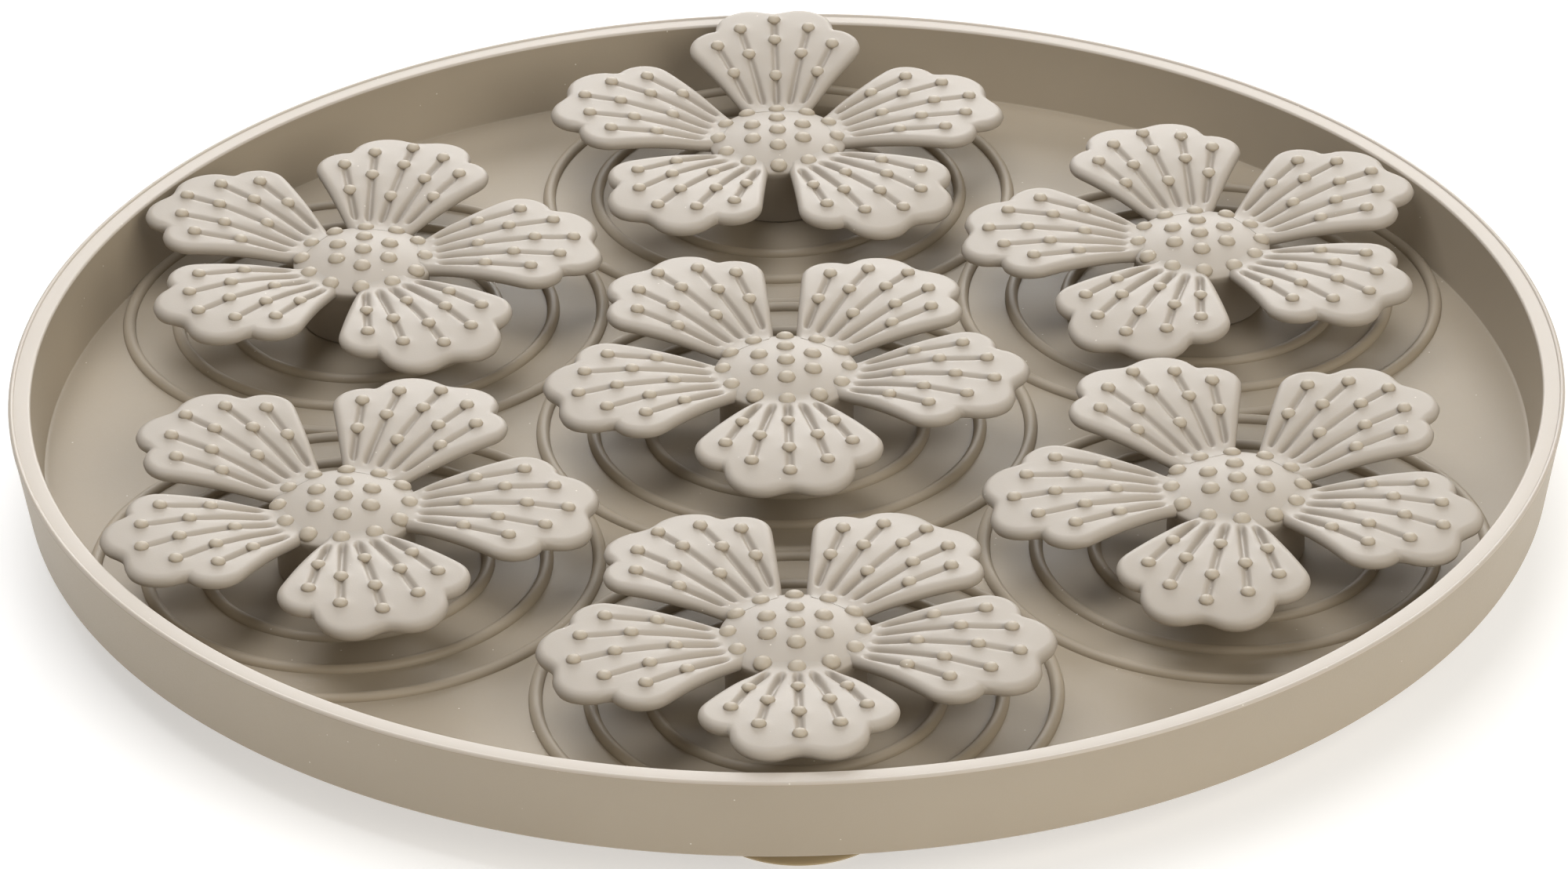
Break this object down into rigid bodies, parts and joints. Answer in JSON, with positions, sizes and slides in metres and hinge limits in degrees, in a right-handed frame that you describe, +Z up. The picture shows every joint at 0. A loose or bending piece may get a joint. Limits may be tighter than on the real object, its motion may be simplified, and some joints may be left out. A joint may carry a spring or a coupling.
{
  "type": "silicone snuffle mat",
  "caption": "Shallow round silicone tray with nubbed five-petal flowers that turn on plugged stems over ribbed rings, standing on suction cups.",
  "frame": {"origin": "middle of the tray on the table plane under the suction cup lips", "axes": "+Z up out of the tray, -Y towards the front, +X to the right; the front flower lies on -Y and the flower with the standing petal on +Y"},
  "size_m": [0.3, 0.3, 0.0316],
  "materials": {
    "tray_silicone": "satin",
    "flower_silicone": "satin",
    "cup_silicone": "satin"
  },
  "bodies": {
    "tray": {"tray": "tray_silicone", "suction_cup_front": "cup_silicone", "suction_cup_right_front": "cup_silicone", "suction_cup_right_back": "cup_silicone", "suction_cup_back": "cup_silicone", "suction_cup_left_back": "cup_silicone", "suction_cup_left_front": "cup_silicone"},
    "flower_centre": {"flower_centre": "flower_silicone"},
    "flower_front": {"flower_front": "flower_silicone"},
    "flower_right_front": {"flower_right_front": "flower_silicone"},
    "flower_right_back": {"flower_right_back": "flower_silicone"},
    "flower_back": {"flower_back": "flower_silicone"},
    "flower_left_back": {"flower_left_back": "flower_silicone"},
    "flower_left_front": {"flower_left_front": "flower_silicone"}
  },
  "joints": [
    {"name": "flower_centre_turn", "type": "hinge", "parent": "tray", "child": "flower_centre", "pos_m": [0, 0, 0.011], "axis": [0, 0, 1], "continuous": true},
    {"name": "flower_front_turn", "type": "hinge", "parent": "tray", "child": "flower_front", "pos_m": [0, -0.0966, 0.011], "axis": [0, 0, 1], "continuous": true},
    {"name": "flower_right_front_turn", "type": "hinge", "parent": "tray", "child": "flower_right_front", "pos_m": [0.08366, -0.0483, 0.011], "axis": [0, 0, 1], "continuous": true},
    {"name": "flower_right_back_turn", "type": "hinge", "parent": "tray", "child": "flower_right_back", "pos_m": [0.08366, 0.0483, 0.011], "axis": [0, 0, 1], "continuous": true},
    {"name": "flower_back_turn", "type": "hinge", "parent": "tray", "child": "flower_back", "pos_m": [0, 0.0966, 0.011], "axis": [0, 0, 1], "continuous": true},
    {"name": "flower_left_back_turn", "type": "hinge", "parent": "tray", "child": "flower_left_back", "pos_m": [-0.08366, 0.0483, 0.011], "axis": [0, 0, 1], "continuous": true},
    {"name": "flower_left_front_turn", "type": "hinge", "parent": "tray", "child": "flower_left_front", "pos_m": [-0.08366, -0.0483, 0.011], "axis": [0, 0, 1], "continuous": true}
  ]
}
